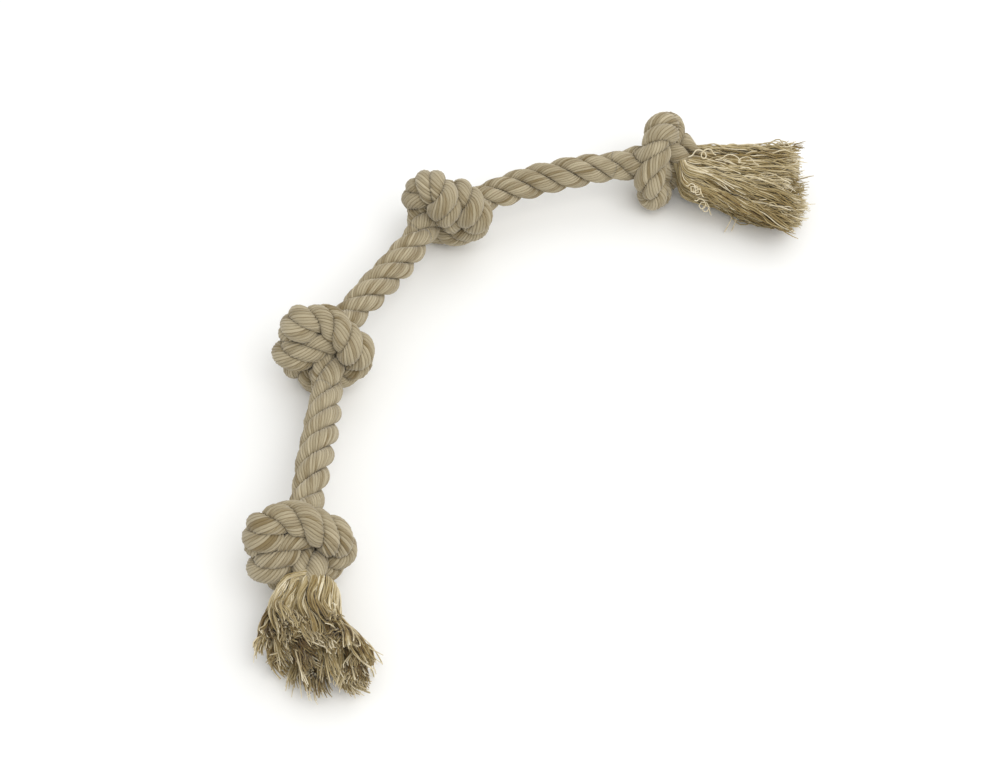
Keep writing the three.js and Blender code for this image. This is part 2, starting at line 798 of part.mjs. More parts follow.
// The sections from the front tassel to the side tassel. Strand a of one carries on as strand a of
// the next, whatever its place in the lay.
const sections = [];
let shift = 0;
const wrap = (strand) => ((strand % strandCount) + strandCount) % strandCount;
knotted.forEach((strands, i) => {
  sections.push({ name: `knot_${i + 1}`, strands, shift, spacing: knotRingSpacing });
  if (i < stretches.length) {
    const { strands: laid, thirds } = stretches[i];
    sections.push({ name: `stretch_${i + 1}`, strands: laid, shift, spacing: stretchRingSpacing });
    shift = wrap(shift + thirds);
  }
});
const runs = [];
const gone = strandNames.map(() => 0);
sections.forEach(({ name, strands, shift: turned, spacing }) => strandNames.forEach((letter, strand) => {
  const run = addRun(strand, strands[wrap(strand + turned)], spacing, gone[strand]);
  gone[strand] += run.length;
  runs.push({ ...run, name: `${name}_strand_${letter}` });
}));

// Neighbouring sections of a strand end on faces square to the same direction, a small gap apart
runs.slice(strandCount).forEach((next, i) => {
  const before = runs[i];
  const along = before.endAlong.clone().add(next.startAlong).normalize();
  before.endAlong = along;
  next.startAlong = along;
  before.rings[before.rings.length - 1].addScaledVector(along, -touchingGap / 2);
  next.rings[0].addScaledVector(along, touchingGap / 2);
});
const leastDistance = pressStrands(runs);

const cotton = new THREE.MeshStandardMaterial({ color: '#a39674', roughness: 0.95, metalness: 0 });
const combedCotton = new THREE.MeshStandardMaterial({ color: '#b09c66', roughness: 0.95, metalness: 0 });
const toy = new THREE.Group();
const addPiece = (name, geometry, material) => {
  const piece = new THREE.Mesh(geometry, material);
  piece.name = name;
  toy.add(piece);
};
runs.forEach((run) => addPiece(run.name, seated(strandTube(run)), cotton));

const lastKnot = knotted.length - 1;
const tassels = [
  {
    name: 'tassel_front', length: frontTasselLength, halfWidth: frontTasselHalfWidth,
    heading: tasselHeadings.front, mouth: mouths[0][0], turned: 0, sign: -1,
  },
  {
    name: 'tassel_side', length: sideTasselLength, halfWidth: sideTasselHalfWidth,
    heading: tasselHeadings.side, mouth: mouths[lastKnot][1], turned: shift, sign: 1,
  },
];
tassels.forEach((tassel) => {
  const { turned, sign } = tassel;
  const endRuns = sign < 0 ? runs.slice(0, strandCount) : runs.slice(-strandCount);
  const startAlong = [];
  const reaches = [];
  endRuns.forEach((run, strand) => {
    const along = sign < 0 ? run.startAlong.clone().negate() : run.endAlong.clone();
    startAlong[wrap(strand + turned)] = along;
    reaches.push(...run.reaches[sign < 0 ? 0 : run.reaches.length - 1]);
  });
  const thirds = laidTassel(tassel, startAlong, Math.min(...reaches) - touchingGap / 2);
  strandNames.forEach((letter, strand) => {
    addPiece(`${tassel.name}_strand_${letter}`, thirds[wrap(strand + turned)], combedCotton);
  });
});

// The least gap between two windings of the rope, measured between the corners of their rings
const corners = runs.flatMap(({ strand, gone: start, rings, spacing, spokes, reaches }) => (
  rings.flatMap((ring, r) => spokes[r].map((spoke, k) => ({
    strand, along: start + r * spacing, place: ring.clone().addScaledVector(spoke, reaches[r][k]),
  })))
));
let leastGap = Infinity;
corners.forEach((one, i) => corners.slice(i + 1).forEach((two) => {
  if (one.strand !== two.strand || Math.abs(one.along - two.along) > ownShare * strandDiameter) {
    leastGap = Math.min(leastGap, one.place.distanceTo(two.place));
  }
}));
console.log(`least distance between strand middles ${leastDistance.toFixed(2)} mm`);
console.log(`least gap between strands ${leastGap.toFixed(2)} mm`);

export default toy;
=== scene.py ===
# A rope dog toy: one length of thick cotton rope tied in four overhand knots, with both ends
# unlaid and combed out. Lengths are in millimetres until a mesh is made, which is in metres.
import math

import bpy
import numpy as np
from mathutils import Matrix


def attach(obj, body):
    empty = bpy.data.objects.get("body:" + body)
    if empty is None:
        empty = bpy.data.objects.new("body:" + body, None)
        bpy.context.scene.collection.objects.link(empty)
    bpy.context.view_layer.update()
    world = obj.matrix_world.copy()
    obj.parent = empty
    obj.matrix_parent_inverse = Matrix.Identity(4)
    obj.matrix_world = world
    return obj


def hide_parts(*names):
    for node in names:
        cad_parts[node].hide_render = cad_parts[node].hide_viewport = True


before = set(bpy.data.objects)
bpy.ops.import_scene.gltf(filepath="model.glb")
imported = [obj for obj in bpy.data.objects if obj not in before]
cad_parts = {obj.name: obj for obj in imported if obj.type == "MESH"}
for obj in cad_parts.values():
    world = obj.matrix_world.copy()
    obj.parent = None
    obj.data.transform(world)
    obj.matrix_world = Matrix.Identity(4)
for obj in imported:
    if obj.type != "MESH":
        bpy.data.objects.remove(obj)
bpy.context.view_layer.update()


# The view. The photograph looks down on the toy from about waist height, with a short
# telephoto lens, and the toy lies across the frame from lower left to upper right.
degrees_down = 52
camera_data = bpy.data.cameras.new("camera")
camera = bpy.data.objects.new("camera", camera_data)
bpy.context.scene.collection.objects.link(camera)
camera_data.lens = 58.75
camera_data.sensor_width = 36
camera.location = (-0.0334, -0.6047, 0.790)
camera.rotation_euler = (math.radians(90 - degrees_down), 0, 0)
bpy.context.scene.camera = camera


# The rope. Three strands of 16 plied cotton yarns each, laid right-handed into a rope of 22 mm.
# Each knot is worked out as an overhand knot pulled tight in the three strands, and the free
# rope between two knots joins the strands of one to those of the next.
rope_diameter = 22
lay_length = 50
strand_count = 3
third = 2 * math.pi / strand_count
# In rope diameters: one turn of the lay, how far a strand's middle lies from the rope's, how
# close two strands come, how far one may stray from the rope's middle, how far apart the ends
# of a bend of four steps stay, a step along the rope and along a strand, and the rope that a
# knot takes up
lay_span = lay_length / rope_diameter
helix_share = 0.28
contact_share = 0.36
stray_share = 0.38
bend_share = 0.5
bead_share = 0.13
link_share = bead_share * math.hypot(1, 2 * math.pi * helix_share / lay_span)
eaten_share = 9
# A knot's middle is in rope diameters. In degrees: where it heads on the floor, how far the
# rope turns at it, how it is rolled about its heading, and where its lay starts
knot_table = [
    {"middle": (-6.47, -5.78), "heading": 97, "turn": 18, "roll": 90, "lay": 72},
    {"middle": (-6.31, 0.58), "heading": 77, "turn": 30, "roll": 105, "lay": 72},
    {"middle": (-3.22, 5.84), "heading": 52, "turn": 30, "roll": 225, "lay": 72},
    {"middle": (3.17, 8.11), "heading": -3, "turn": 24, "roll": 350, "lay": 48},
]
# How hard a knot is squeezed in each step, lengthways and crosswise, and its final flattening
squeeze = (0.02, 0.004)
press_shares = np.array([0.8, 0.86, 0.86])
# A strand's distance from the middle of the free rope, in rope diameters, and how high above
# the floor the lowest strand's middle lies, in millimetres
free_helix_share = 0.264
set_down = 4.47


def unit(vectors):
    return vectors / np.linalg.norm(vectors, axis=-1, keepdims=True)


def evenly(points, count):
    """Evenly spaced points along a run of points."""
    steps = np.linalg.norm(np.diff(points, axis=0), axis=1)
    reach = np.concatenate([[0.0], np.cumsum(steps)])
    want = reach[-1] * np.arange(count) / (count - 1)
    k = np.clip(np.searchsorted(reach, want, side="left") - 1, 0, len(points) - 2)
    share = (want - reach[k]) / (reach[k + 1] - reach[k])
    return points[k] + (points[k + 1] - points[k]) * share[:, None]


def frames_along(points, first_side):
    """Directions along a run of points, and two square to each that don't spin round it."""
    around = np.concatenate([points[:1], points, points[-1:]])
    along = unit(around[2:] - around[:-2])
    side = np.zeros_like(along)
    turned = np.array(first_side, float)
    for i in range(len(points)):
        turned = turned - along[i] * np.dot(turned, along[i])
        turned = turned / math.sqrt(np.dot(turned, turned))
        side[i] = turned
    return along, side, np.cross(along, side)


def length_of(points):
    return np.linalg.norm(np.diff(points, axis=0), axis=1).sum()


def loose_knot():
    """A loose overhand knot in the rope's middle line, in rope diameters."""
    # a curve of polynomials that crosses itself three times, with a straight piece at each end
    t = -2 + 4 * np.arange(401) / 400
    points = np.stack([
        (t ** 5 - 10 * t) * 0.17,
        (t ** 3 - 3 * t) * 0.85,
        (t ** 4 - 4 * t ** 2 + 1.4) * 0.62,
    ], 1)
    first, last = points[0, 0] - 2, points[-1, 0] + 2
    ends = np.array([[first - 1.5, 0, 0], [first, 0, 0], [last, 0, 0], [last + 1.5, 0, 0]])
    line = evenly(np.concatenate([ends[:2], points, ends[2:]]), 400)
    for _ in range(60):
        line[1:-1] += 0.5 * (0.5 * (line[:-2] + line[2:]) - line[1:-1])
    return evenly(line, int(math.floor(length_of(line) / bead_share + 0.5)) + 1)


def size_of(v):
    return np.sqrt(v[..., 0] * v[..., 0] + v[..., 1] * v[..., 1] + v[..., 2] * v[..., 2])


def tight_knots(table):
    """All knots pulled tight at once, in rope diameters: knot, strand, bead, axis. The ends are
    drawn apart while the strands keep their length, their distance and a least bend."""
    line = loose_knot()
    count = len(line)
    knots = len(table)
    _, side, other = frames_along(line, (0, -1, 0))
    beads = np.zeros((knots, strand_count, count, 3))
    for n, knot in enumerate(table):
        for strand in range(strand_count):
            angle = (2 * np.pi * np.arange(count) * bead_share) / lay_span
            angle = angle + np.radians(knot["lay"]) + strand * third
            beads[n, strand] = (line + side * (helix_share * np.cos(angle))[:, None]
                                + other * (helix_share * np.sin(angle))[:, None])
    start = beads.copy()
    flat = beads.reshape(-1, 3)
    # steps that pull and that settle, passes in each, and how many beads are held at an end
    # or make a bend
    pull_steps, settle_steps, passes, held, over = 1400, 150, 6, 8, 4
    # how much of a fault one pass puts right
    smooth_rate, bend_rate, stray_rate, touch_rate, last_touch_rate = 0.06, 0.25, 0.3, 0.6, 0.9
    # beads this much further apart than touching are watched, and looked for every few steps
    margin, search_every = 0.15, 12
    # when the squeeze starts, how far from the middle it reaches and over how much it fades
    squeeze_from, squeeze_reach, squeeze_fade = 0.4, 2, 0.5
    # places are rounded to this, so that differences in a last digit don't build up
    grid = 1e7
    pull = ((count - 1) * bead_share - eaten_share - (line[-1, 0] - line[0, 0])) / 2 / pull_steps
    next_on = math.ceil(1.6 * contact_share / link_share)
    rows, cols = np.triu_indices(strand_count * count, 1)
    apart = (rows // count != cols // count) | (cols - rows >= next_on)
    rows, cols = rows[apart], cols[apart]
    ahead = np.array([1.0, 0, 0])
    turns = [math.radians(knot["turn"]) / 2 for knot in table]
    bends = [np.array([0, -math.cos(math.radians(knot["roll"])),
                       math.sin(math.radians(knot["roll"]))]) for knot in table]
    drawn = 0.0
    for step in range(pull_steps + 2 * settle_steps):
        settling = step >= pull_steps + settle_steps
        if step % search_every == 0:
            found = []
            for n in range(knots):
                own = flat[n * strand_count * count:(n + 1) * strand_count * count]
                close = np.abs(own[cols, 0] - own[rows, 0]) <= contact_share + margin
                r, c = rows[close], cols[close]
                near = size_of(own[c] - own[r]) < contact_share + margin
                found.append(np.stack([r[near], c[near]], 1) + n * strand_count * count)
            first_of, second_of = np.concatenate(found).T
            places = np.stack([second_of, first_of], 1).ravel()
        if step < pull_steps:
            drawn += pull
        if not settling:
            before = beads.copy()
            between = 0.5 * (before[:, :, :-2] + before[:, :, 2:])
            beads[:, :, 1:-1] += smooth_rate * (between - before[:, :, 1:-1])
            if step > squeeze_from * pull_steps:
                inside = (squeeze_reach - np.abs(flat[:, 0])) / squeeze_fade
                inside = np.minimum(np.maximum(inside, 0), 1)
                flat[:, 0] -= inside * squeeze[0] * flat[:, 0]
                flat[:, 1] -= inside * squeeze[1] * flat[:, 1]
                flat[:, 2] -= inside * squeeze[1] * flat[:, 2]
        ends = []
        for n in range(knots):
            angle = turns[n] * min(step / pull_steps, 1)
            for part, sign in ((slice(None, held), -1), (slice(count - held, None), 1)):
                point = start[n][:, part] + np.array([sign * drawn, 0, 0])
                one, two = point @ ahead, point @ bends[n]
                c, s = math.cos(angle), math.sin(angle) * sign
                point = (point + (one * c - two * s - one)[..., None] * ahead
                         + (one * s + two * c - two)[..., None] * bends[n])
                ends.append((n, part, point))
        for _ in range(passes):
            # the rope isn't pressed shorter
            for first in (0, 1):
                middles = (beads[:, 0] + beads[:, 1] + beads[:, 2]) / 3
                gap = (middles[:, 1:] - middles[:, :-1])[:, first::2]
                back = 0.5 * np.maximum(1 - bead_share / size_of(gap), 0)
                move = (back[..., None] * gap)[:, None]
                beads[:, :, first:count - 1:2] += move
                beads[:, :, first + 1::2] -= move
            # and bends no more sharply than its strands allow
            gap = beads[:, :, over:] - beads[:, :, :-over]
            move = (bend_rate * np.maximum(bend_share / size_of(gap) - 1, 0))[..., None] * gap
            shift = np.zeros_like(beads)
            shift[:, :, over:] += move
            shift[:, :, :-over] -= move
            beads += shift
            # each strand keeps its length
            for first in (0, 1):
                gap = (beads[:, :, 1:] - beads[:, :, :-1])[:, :, first::2]
                move = (0.5 * (1 - link_share / size_of(gap)))[..., None] * gap
                beads[:, :, first:count - 1:2] += move
                beads[:, :, first + 1::2] -= move
            # and stays with the rope
            offset = beads - ((beads[:, 0] + beads[:, 1] + beads[:, 2]) / 3)[:, None]
            distance = size_of(offset)
            astray = stray_rate * np.maximum(distance - stray_share, 0) / distance
            beads -= astray[..., None] * offset
            # strands that come too close push each other away
            gap = flat[second_of] - flat[first_of]
            distance = size_of(gap)
            rate = last_touch_rate if settling else touch_rate
            push = (0.5 * rate * np.maximum(contact_share - distance, 0)) / distance
            move = push[:, None] * gap
            both = np.stack([move, -move], 1).reshape(-1, 3)
            for axis in range(3):
                flat[:, axis] += np.bincount(places, both[:, axis], len(flat))
            # the ends are held
            for n, part, point in ends:
                beads[n][:, part] = point
        beads[:] = np.floor(beads * grid + 0.5) / grid
    return beads


def knotted_range(rows):
    """The beads from where the rope first touches itself to where it last does."""
    # how many beads apart two of them have to be, how close they lie where the rope touches
    # itself, in rope diameters, and how many beads are added at each end
    beads_apart, touching_share, spare = 12, 0.62, 3
    index = np.arange(rows.shape[1])
    far = np.abs(index[:, None] - index[None]) >= beads_apart
    touches = np.zeros(len(index), bool)
    for one in rows:
        for two in rows:
            distance = np.linalg.norm(one[:, None] - two[None], axis=2)
            touches |= ((distance < touching_share) & far).any(1)
    touching = np.flatnonzero(touches)
    return touching[0] - spare, touching[-1] + spare


def turned_knot(rows, knot):
    """A knot turned to its heading and roll, in millimetres, set down on the floor."""
    first, last = knotted_range(rows)
    kept = rows[:, first:last + 1]
    corners = kept.reshape(-1, 3)
    centre = (corners.min(0) + corners.max(0)) / 2
    heading, roll = math.radians(knot["heading"]), math.radians(knot["roll"])
    ahead = np.array([math.cos(heading), math.sin(heading), 0])
    sideways = (np.array([-math.sin(heading), math.cos(heading), 0]) * math.cos(roll)
                + np.array([0, 0, math.sin(roll)]))
    turn = np.stack([ahead, sideways, np.cross(ahead, sideways)])
    placed = ((kept - centre) * (press_shares * rope_diameter)) @ turn
    rise = set_down - placed[..., 2].min()
    x, y = knot["middle"]
    return placed + np.array([x * rope_diameter, y * rope_diameter, rise])


def mouth_of(strands, at_end):
    """Where the strands go into or out of a knot: their points, middle and direction."""
    points = strands[:, -1] if at_end else strands[:, 0]
    before = (strands[:, -5] if at_end else strands[:, 4]).mean(0)
    middle = points.mean(0)
    return {"middle": middle, "out": unit(middle - before), "points": points}


def bezier_even(corners, count):
    """Evenly spaced points on a smooth curve through four corners, and its length."""
    t = np.linspace(0, 1, 201)[:, None]
    a, b, c, d = corners
    line = a * (1 - t) ** 3 + 3 * b * t * (1 - t) ** 2 + 3 * c * t ** 2 * (1 - t) + d * t ** 3
    return evenly(line, count), length_of(line)


def place_about(points, middle, along, side, other):
    """Points as an angle and a distance about a middle line, and how far along it they lie."""
    offset = points - middle
    x, y = offset @ side, offset @ other
    return np.arctan2(y, x), np.hypot(x, y), offset @ along


def smooth_step(x, low, high):
    """0 below low, 1 above high, and a smooth rise between them."""
    x = np.clip((x - low) / (high - low), 0, 1)
    return x * x * (3 - 2 * x)


def laid_stretch(start, end):
    """The free rope between two knots: three strands laid round a smooth middle line, so that
    each meets a strand of the next knot. Returns them and how many places they have moved on."""
    handle_share = 0.29
    handle = np.linalg.norm(start["middle"] - end["middle"]) * handle_share
    corners = [start["middle"], start["middle"] + start["out"] * handle,
               end["middle"] + end["out"] * handle, end["middle"]]
    length = bezier_even(corners, 2)[1]
    count = int(round(length / (bead_share * rope_diameter))) + 1
    line = bezier_even(corners, count)[0]
    along, side, other = frames_along(line, (0, 0, 1))
    starts = place_about(start["points"], line[0], along[0], side[0], other[0])
    ends = place_about(end["points"], line[-1], along[-1], side[-1], other[-1])
    natural = 2 * math.pi * length / lay_length
    thirds = int(math.floor((starts[0][0] + natural - ends[0][0]) / third + 0.5))
    radius = free_helix_share * rope_diameter
    gone = np.linspace(0, length, count)
    from_start = 1 - smooth_step(gone, 0, rope_diameter)
    from_end = 1 - smooth_step(length - gone, 0, rope_diameter)
    strands = []
    for strand in range(strand_count):
        other_end = (strand + thirds) % strand_count
        plain = ends[0][0] + thirds * third - starts[0][0]
        spare = ends[0][other_end] - starts[0][strand] - plain
        turned = plain + spare - 2 * math.pi * math.floor(spare / (2 * math.pi) + 0.5)
        angle = starts[0][strand] + turned * gone / length
        reach = (radius + from_start * (starts[1][strand] - radius)
                 + from_end * (ends[1][other_end] - radius))
        rise = from_start * starts[2][strand] + from_end * ends[2][other_end]
        strands.append(line + along * rise[:, None] + side * (reach * np.cos(angle))[:, None]
                       + other * (reach * np.sin(angle))[:, None])
    return np.array(strands), thirds


beads = tight_knots(knot_table)
knots = [turned_knot(rows, knot) for rows, knot in zip(beads, knot_table)]
mouths = [(mouth_of(knot, False), mouth_of(knot, True)) for knot in knots]
stretches = [laid_stretch(mouths[i][1], mouths[i + 1][0]) for i in range(len(knots) - 1)]

# Sections from the front tassel to the side tassel, each with its strands a, b, c in order
sections = []
shift = 0
for i, knot in enumerate(knots):
    order = [(strand + shift) % strand_count for strand in range(strand_count)]
    sections.append((f"knot_{i + 1}", knot[order]))
    if i < len(stretches):
        laid, thirds = stretches[i]
        sections.append((f"stretch_{i + 1}", laid[order]))
        shift = (shift + thirds) % strand_count

# Each strand as one line through all sections, and where each section starts and ends on it
ring_step = 1.6  # millimetres between a strand's cross-sections
strand_lines = []
cuts = []
for strand in range(strand_count):
    line = np.concatenate([points[strand] if n == 0 else points[strand][1:]
                           for n, (name, points) in enumerate(sections)])
    for _ in range(3):
        line[1:-1] += 0.5 * (0.5 * (line[:-2] + line[2:]) - line[1:-1])
    steps = np.linalg.norm(np.diff(line, axis=0), axis=1)
    reach = np.concatenate([[0.0], np.cumsum(steps)])
    count = int(round(reach[-1] / ring_step)) + 1
    where = np.linspace(0, reach[-1], count)
    slopes = np.gradient(line, reach, axis=0)
    k = np.clip(np.searchsorted(reach, where) - 1, 0, len(line) - 2)
    width = (reach[k + 1] - reach[k])[:, None]
    t = (where - reach[k])[:, None] / width
    dense = ((1 + 2 * t) * (1 - t) ** 2 * line[k] + t * (1 - t) ** 2 * width * slopes[k]
             + t ** 2 * (3 - 2 * t) * line[k + 1] + t ** 2 * (t - 1) * width * slopes[k + 1])
    strand_lines.append(dense)
    ends = np.cumsum([len(points[strand]) - 1 for name, points in sections])
    marks = np.searchsorted(where, reach[np.concatenate([[0], ends])])
    cuts.append(np.clip(marks, 0, count - 1))

# The yarns. A strand is 16 plied yarns, twisted the other way to the lay, so that they run nearly
# along the rope. One surface shows them: it bulges at each yarn, and it is pressed flat where
# another strand lies against it. It is made of cross-sections along the strand's line.
metres_per_mm = 0.001
yarns_per_strand = 16
points_per_yarn = 6
around = yarns_per_strand * points_per_yarn
yarn_lay = 34
yarn_depth = 0.5
yarn_roundness = 0.7
# How far a yarn wanders sideways, in yarns, and stands proud, and the length of such a wave
wander_size, wander_wave = 0.16, 14
proud_size, proud_wave = 0.13, 18
# A strand is fuller in a knot and changes over a short length; at both ends of the rope, inside
# the tassels, it thins out
strand_radius = 5.45
knot_swell = 0.95
swell_fade = 6
tail = 15
tail_share = 0.4
# What presses a strand: lines within a strand's width, but not its own line close by. A point
# that nothing presses has a limit far out.
cell = 2 * strand_radius
own_length = 13
least_facing = 0.05
unpressed = 99.0
pressed_below = 9
# Pulled tight, the strands leave no daylight between them, so they overlap a little in a knot
knot_overlap = 0.4
# A strand's least radius, and the least gap below it
least_radius = 0.6
floor_gap = 0.15
rng = np.random.default_rng(7)


def noise_along(count, step, spacing, rows):
    """Smooth random values along a strand, one row for each yarn."""
    values = rng.normal(size=(rows, int(count * step / spacing) + 4))
    x = np.arange(count) * step / spacing
    k = x.astype(int)
    t = x - k
    t = t * t * (3 - 2 * t)
    return values[:, k] * (1 - t) + values[:, k + 1] * t


stations = np.concatenate(strand_lines)
station_strand = np.concatenate([np.full(len(line), n) for n, line in enumerate(strand_lines)])
station_along = np.concatenate([np.arange(len(line)) * ring_step for line in strand_lines])
order_x = np.argsort(stations[:, 0], kind="stable")
sorted_x = stations[order_x, 0]

strand_rings = []
strand_reach = []
for strand, line in enumerate(strand_lines):
    _, side, other = frames_along(line, (0.3, 0.2, 1))
    gone = np.arange(len(line)) * ring_step
    twist = -2 * np.pi * gone / yarn_lay
    wander = noise_along(len(line), ring_step, wander_wave, yarns_per_strand) * wander_size
    proud = noise_along(len(line), ring_step, proud_wave, yarns_per_strand) * proud_size
    k = np.arange(around)
    yarn = k // points_per_yarn
    within = (k % points_per_yarn) / points_per_yarn
    bump = np.abs(np.sin(np.pi * (within[:, None] + 0.001))) ** yarn_roundness
    angle = (2 * np.pi * k / around)[:, None] + twist[None]
    angle = angle + wander[yarn] * (2 * np.pi / yarns_per_strand) * bump
    spokes = (side[None] * np.cos(angle)[..., None] + other[None] * np.sin(angle)[..., None])
    swell = np.zeros(len(line))
    for first, last in zip(cuts[strand][0::2], cuts[strand][1::2]):
        begun = smooth_step(gone, gone[first] - swell_fade, gone[first] + swell_fade)
        ended = smooth_step(gone, gone[last] - swell_fade, gone[last] + swell_fade)
        swell += knot_swell * begun * (1 - ended)
    to_end = np.minimum(gone, gone[-1] - gone)
    thin = tail_share + (1 - tail_share) * smooth_step(to_end, 0, tail)
    free = (strand_radius + swell - yarn_depth * (1 - bump) + proud[yarn] * bump) * thin
    limit = np.full((around, len(line)), unpressed)
    for r in range(len(line)):
        low, high = np.searchsorted(sorted_x, [line[r, 0] - cell, line[r, 0] + cell])
        near = order_x[low:high]
        away = stations[near] - line[r]
        distance = np.linalg.norm(away, axis=1)
        passed = np.abs(station_along[near] - gone[r])
        own = (station_strand[near] == strand) & (passed < own_length)
        keep = (distance < cell) & ~own
        away, distance = away[keep], distance[keep]
        if len(distance):
            facing = spokes[:, r] @ (away / distance[:, None]).T
            reach = (distance / 2)[None] / np.maximum(facing, least_facing)
            limit[:, r] = np.where(facing > least_facing, reach, unpressed).min(1)
    reach = np.minimum(limit, strand_radius + swell)
    for _ in range(2):
        padded = np.pad(reach, ((0, 0), (1, 1)), mode="edge")
        reach = (np.roll(reach, 1, 0) + np.roll(reach, -1, 0) + 2 * reach
                 + padded[:, :-2] + padded[:, 2:]) / 6
    overlap = np.where(limit < pressed_below, knot_overlap * swell / knot_swell, 0)
    reach = np.minimum(reach, limit) + overlap
    radius = np.maximum(reach - (strand_radius + swell - free), least_radius)
    rings = line[None] + spokes * radius[..., None]
    rings[..., 2] = np.maximum(rings[..., 2], floor_gap)
    strand_rings.append(rings.transpose(1, 0, 2))
    strand_reach.append((reach / strand_radius).T)


def tube_mesh(name, tubes):
    """One mesh of closed tubes. Each tube has rings of points, a length for each ring, a value
    for each point that says how hard it is pressed, and its number of yarns. The UV map counts
    yarns round a tube and millimetres along it."""
    verts, faces, uvs, pressed = [], [], [], []
    base = 0
    for rings, lengths, press, columns in tubes:
        count, round_count = rings.shape[:2]
        verts.append(rings.reshape(-1, 3))
        verts.append(rings[[0, -1]].mean(1))
        pressed.append(press.reshape(-1))
        pressed.append(np.array([0.5, 0.5]))
        r, k = np.meshgrid(np.arange(count - 1), np.arange(round_count), indexing="ij")
        r, k = r.ravel(), k.ravel()
        after = (k + 1) % round_count
        a, b = base + r * round_count + k, base + r * round_count + after
        quads = np.stack([a, b, b + round_count, a + round_count], 1)
        u0, u1 = k / round_count * columns, (k + 1) / round_count * columns
        v0, v1 = lengths[r], lengths[r + 1]
        uv = np.stack([np.stack([u0, v0], 1), np.stack([u1, v0], 1),
                       np.stack([u1, v1], 1), np.stack([u0, v1], 1)], 1)
        k = np.arange(round_count)
        after = (k + 1) % round_count
        first_centre = base + count * round_count
        last = base + (count - 1) * round_count
        start_cap = np.stack([np.full(round_count, first_centre), base + after, base + k], 1)
        end_cap = np.stack([np.full(round_count, first_centre + 1), last + k, last + after], 1)
        u = k / round_count * columns
        cap_uv = np.stack([np.stack([u, np.full(round_count, lengths[0])], 1)] * 3, 1)
        faces.append((quads, start_cap, end_cap))
        uvs.append((uv, cap_uv, cap_uv))
        base += count * round_count + 2
    parts = [part for group in faces for part in group]
    corners = np.concatenate([part.ravel() for part in parts])
    sizes = np.concatenate([np.full(len(part), part.shape[1]) for part in parts])
    starts = np.concatenate([[0], np.cumsum(sizes)[:-1]])
    uv = np.concatenate([part.reshape(-1, 2) for group in uvs for part in group])
    verts = np.concatenate(verts) * metres_per_mm
    mesh = bpy.data.meshes.new(name)
    mesh.vertices.add(len(verts))
    mesh.vertices.foreach_set("co", verts.astype(np.float32).ravel())
    mesh.loops.add(len(corners))
    mesh.loops.foreach_set("vertex_index", corners.astype(np.int32))
    mesh.polygons.add(len(sizes))
    mesh.polygons.foreach_set("loop_start", starts.astype(np.int32))
    mesh.polygons.foreach_set("use_smooth", np.ones(len(sizes), bool))
    layer = mesh.uv_layers.new(name="UVMap")
    layer.data.foreach_set("uv", uv.astype(np.float32).ravel())
    press = mesh.attributes.new("pressed", "FLOAT", "POINT")
    press.data.foreach_set("value", np.concatenate(pressed).astype(np.float32))
    mesh.update(calc_edges=True)
    mesh.validate()
    piece = bpy.data.objects.new(name, mesh)
    bpy.context.scene.collection.objects.link(piece)
    return piece


def srgb(text):
    """A colour written as an sRGB hex value, as the shader wants it."""
    parts = [int(text[i:i + 2], 16) / 255 for i in (1, 3, 5)]
    return [p / 12.92 if p <= 0.04045 else ((p + 0.055) / 1.055) ** 2.4 for p in parts] + [1]


def add_node(tree, kind, settings=None, **links):
    """Adds a node, sets its properties and inputs, and links the inputs that are sockets. An
    input goes by its name, or by i and its number."""
    node = tree.nodes.new(kind)
    for key, value in (settings or {}).items():
        setattr(node, key, value)
    for key, value in links.items():
        numbered = key[0] == "i" and key[1:].isdigit()
        place = node.inputs[int(key[1:]) if numbered else key]
        if isinstance(value, bpy.types.NodeSocket):
            tree.links.new(value, place)
        else:
            place.default_value = value
    return node


